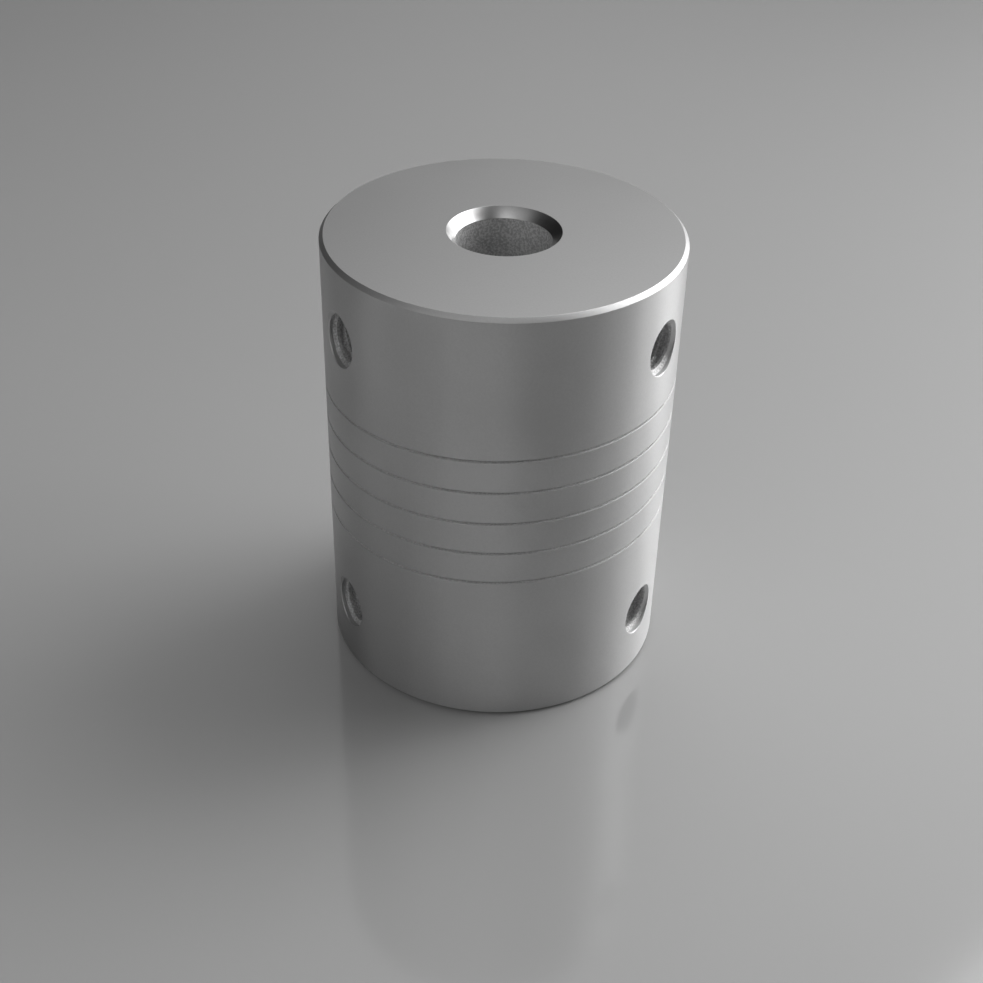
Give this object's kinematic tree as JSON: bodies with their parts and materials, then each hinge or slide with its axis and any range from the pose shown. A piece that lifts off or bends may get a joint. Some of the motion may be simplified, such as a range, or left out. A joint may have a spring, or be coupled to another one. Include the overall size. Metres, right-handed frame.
{
  "type": "beam coupling",
  "caption": "Cylindrical shaft coupling cut by one helical slit into a flexible beam between two hubs, with a chamfered central bore and recessed radial set screws in each hub.",
  "frame": {"origin": "centre of the lower hub's end face, on the shaft axis, at the coupling's base", "axes": "+Z along the shaft axis from the lower hub to the upper hub; -Y towards the side with the set screws, which lie 30 degrees below +X and below -X"},
  "size_m": [0.019, 0.019, 0.025],
  "materials": {
    "coupling_body": "satin turned",
    "set_screw": "black oxide"
  },
  "bodies": {
    "lower_hub": {"lower_hub": "coupling_body"},
    "beam_quarter_01": {"beam_quarter_01": "coupling_body"},
    "beam_quarter_02": {"beam_quarter_02": "coupling_body"},
    "beam_quarter_03": {"beam_quarter_03": "coupling_body"},
    "beam_quarter_04": {"beam_quarter_04": "coupling_body"},
    "beam_quarter_05": {"beam_quarter_05": "coupling_body"},
    "beam_quarter_06": {"beam_quarter_06": "coupling_body"},
    "beam_quarter_07": {"beam_quarter_07": "coupling_body"},
    "beam_quarter_08": {"beam_quarter_08": "coupling_body"},
    "beam_quarter_09": {"beam_quarter_09": "coupling_body"},
    "beam_quarter_10": {"beam_quarter_10": "coupling_body"},
    "beam_quarter_11": {"beam_quarter_11": "coupling_body"},
    "beam_quarter_12": {"beam_quarter_12": "coupling_body"},
    "beam_quarter_13": {"beam_quarter_13": "coupling_body"},
    "beam_quarter_14": {"beam_quarter_14": "coupling_body"},
    "upper_hub": {"upper_hub": "coupling_body"},
    "set_screw_lower_right": {"set_screw_lower_right": "set_screw"},
    "set_screw_lower_left": {"set_screw_lower_left": "set_screw"},
    "set_screw_upper_right": {"set_screw_upper_right": "set_screw"},
    "set_screw_upper_left": {"set_screw_upper_left": "set_screw"}
  },
  "joints": [
    {"name": "bend_x_1", "type": "hinge", "parent": "lower_hub", "child": "beam_quarter_01", "pos_m": [0, 0, 0.00988], "axis": [1, 0, 0], "range_deg": [-0.25, 0.25], "stiffness_Nm_per_rad": 5.03, "deforming": ["beam_quarter_01"]},
    {"name": "bend_y_1", "type": "hinge", "parent": "beam_quarter_01", "child": "beam_quarter_02", "pos_m": [0, 0, 0.01035], "axis": [0, 1, 0], "range_deg": [-0.25, 0.25], "stiffness_Nm_per_rad": 5.03, "deforming": ["beam_quarter_02"]},
    {"name": "stretch_1", "type": "slide", "parent": "beam_quarter_02", "child": "beam_quarter_03", "axis": [0, 0, 1], "range_m": [-0.00004, 0.00004], "stiffness_N_per_m": 132000, "deforming": ["beam_quarter_03"]},
    {"name": "wind_up_1", "type": "hinge", "parent": "beam_quarter_03", "child": "beam_quarter_04", "pos_m": [0, 0, 0.01131], "axis": [0, 0, 1], "range_deg": [-0.5, 0.5], "stiffness_Nm_per_rad": 40.5, "deforming": ["beam_quarter_04"]},
    {"name": "bend_x_2", "type": "hinge", "parent": "beam_quarter_04", "child": "beam_quarter_05", "pos_m": [0, 0, 0.01178], "axis": [1, 0, 0], "range_deg": [-0.25, 0.25], "stiffness_Nm_per_rad": 5.03, "deforming": ["beam_quarter_05"]},
    {"name": "bend_y_2", "type": "hinge", "parent": "beam_quarter_05", "child": "beam_quarter_06", "pos_m": [0, 0, 0.01226], "axis": [0, 1, 0], "range_deg": [-0.25, 0.25], "stiffness_Nm_per_rad": 5.03, "deforming": ["beam_quarter_06"]},
    {"name": "stretch_2", "type": "slide", "parent": "beam_quarter_06", "child": "beam_quarter_07", "axis": [0, 0, 1], "range_m": [-0.00004, 0.00004], "stiffness_N_per_m": 132000, "deforming": ["beam_quarter_07"]},
    {"name": "wind_up_2", "type": "hinge", "parent": "beam_quarter_07", "child": "beam_quarter_08", "pos_m": [0, 0, 0.0132], "axis": [0, 0, 1], "range_deg": [-0.5, 0.5], "stiffness_Nm_per_rad": 40.5, "deforming": ["beam_quarter_08"]},
    {"name": "stretch_3", "type": "slide", "parent": "beam_quarter_08", "child": "beam_quarter_09", "axis": [0, 0, 1], "range_m": [-0.00004, 0.00004], "stiffness_N_per_m": 132000, "deforming": ["beam_quarter_09"]},
    {"name": "bend_y_3", "type": "hinge", "parent": "beam_quarter_09", "child": "beam_quarter_10", "pos_m": [0, 0, 0.01415], "axis": [0, 1, 0], "range_deg": [-0.25, 0.25], "stiffness_Nm_per_rad": 5.03, "deforming": ["beam_quarter_10"]},
    {"name": "bend_x_3", "type": "hinge", "parent": "beam_quarter_10", "child": "beam_quarter_11", "pos_m": [0, 0, 0.01463], "axis": [1, 0, 0], "range_deg": [-0.25, 0.25], "stiffness_Nm_per_rad": 5.03, "deforming": ["beam_quarter_11"]},
    {"name": "wind_up_3", "type": "hinge", "parent": "beam_quarter_11", "child": "beam_quarter_12", "pos_m": [0, 0, 0.01511], "axis": [0, 0, 1], "range_deg": [-0.5, 0.5], "stiffness_Nm_per_rad": 40.5, "deforming": ["beam_quarter_12"]},
    {"name": "stretch_4", "type": "slide", "parent": "beam_quarter_12", "child": "beam_quarter_13", "axis": [0, 0, 1], "range_m": [-0.00004, 0.00004], "stiffness_N_per_m": 132000, "deforming": ["beam_quarter_13"]},
    {"name": "bend_y_4", "type": "hinge", "parent": "beam_quarter_13", "child": "beam_quarter_14", "pos_m": [0, 0, 0.01605], "axis": [0, 1, 0], "range_deg": [-0.25, 0.25], "stiffness_Nm_per_rad": 5.03, "deforming": ["beam_quarter_14"]},
    {"name": "bend_x_4", "type": "hinge", "parent": "beam_quarter_14", "child": "upper_hub", "pos_m": [0, 0, 0.01653], "axis": [1, 0, 0], "range_deg": [-0.25, 0.25], "stiffness_Nm_per_rad": 5.03},
    {"name": "set_screw_lower_right_travel", "type": "slide", "parent": "lower_hub", "child": "set_screw_lower_right", "axis": [0.866, -0.5, 0], "range_m": [-0.0005, 0.0025]},
    {"name": "set_screw_lower_left_travel", "type": "slide", "parent": "lower_hub", "child": "set_screw_lower_left", "axis": [-0.866, -0.5, 0], "range_m": [-0.0005, 0.0025]},
    {"name": "set_screw_upper_right_travel", "type": "slide", "parent": "upper_hub", "child": "set_screw_upper_right", "axis": [0.866, -0.5, 0], "range_m": [-0.0005, 0.0025]},
    {"name": "set_screw_upper_left_travel", "type": "slide", "parent": "upper_hub", "child": "set_screw_upper_left", "axis": [-0.866, -0.5, 0], "range_m": [-0.0005, 0.0025]}
  ]
}
